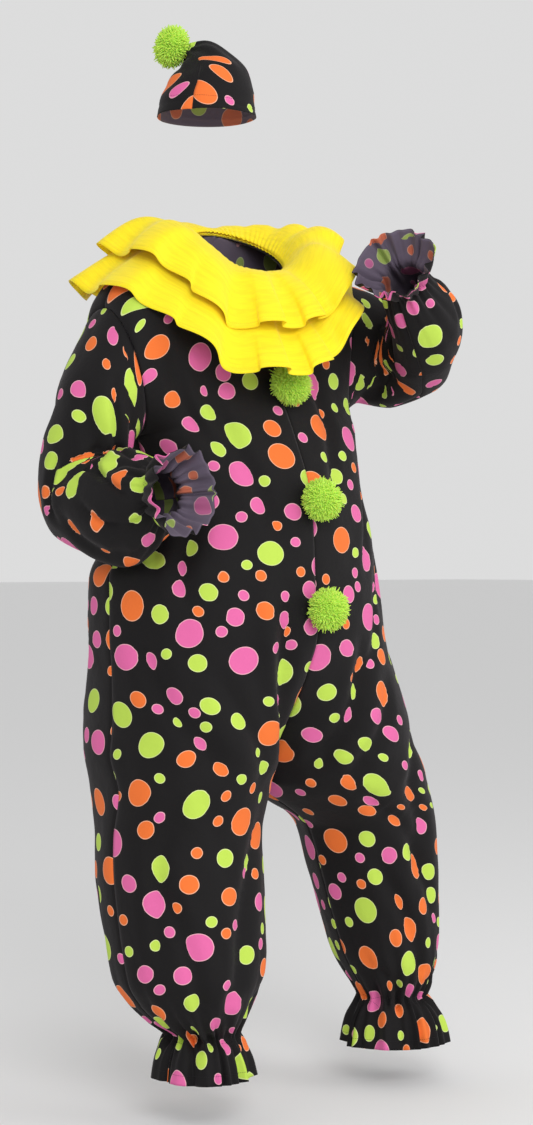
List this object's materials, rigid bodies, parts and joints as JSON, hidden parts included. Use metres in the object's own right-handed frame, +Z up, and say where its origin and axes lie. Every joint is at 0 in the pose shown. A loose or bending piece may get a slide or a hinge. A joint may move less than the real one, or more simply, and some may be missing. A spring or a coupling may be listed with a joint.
{
  "type": "clown costume",
  "caption": "Baggy dotted jumpsuit with elastic frilled cuffs, a two-tier gathered ruff, yarn pompoms down the front and a soft matching hat.",
  "frame": {"origin": "centre of the neck opening, at the base of the wearer's neck", "axes": "+Z up, along the standing wearer; the wearer faces -Y and their left is +X"},
  "size_m": [0.8136, 0.5825, 1.8601],
  "materials": {
    "dot_cloth": "matte black woven cloth printed with orange, pink and lime dots",
    "yellow_crepe": "matte crinkled crepe",
    "lime_yarn": "fuzzy cut yarn"
  },
  "bodies": {
    "root": {"front_right": "dot_cloth", "front_left": "dot_cloth", "back_right": "dot_cloth", "back_left": "dot_cloth", "sleeve_right": "dot_cloth", "sleeve_left": "dot_cloth", "back_fly": "dot_cloth", "hat_crown": "dot_cloth", "ruff_upper": "yellow_crepe", "ruff_lower": "yellow_crepe", "pompom_top": "lime_yarn", "pompom_middle": "lime_yarn", "pompom_low": "lime_yarn", "hat_pompom": "lime_yarn"}
  },
  "joints": []
}
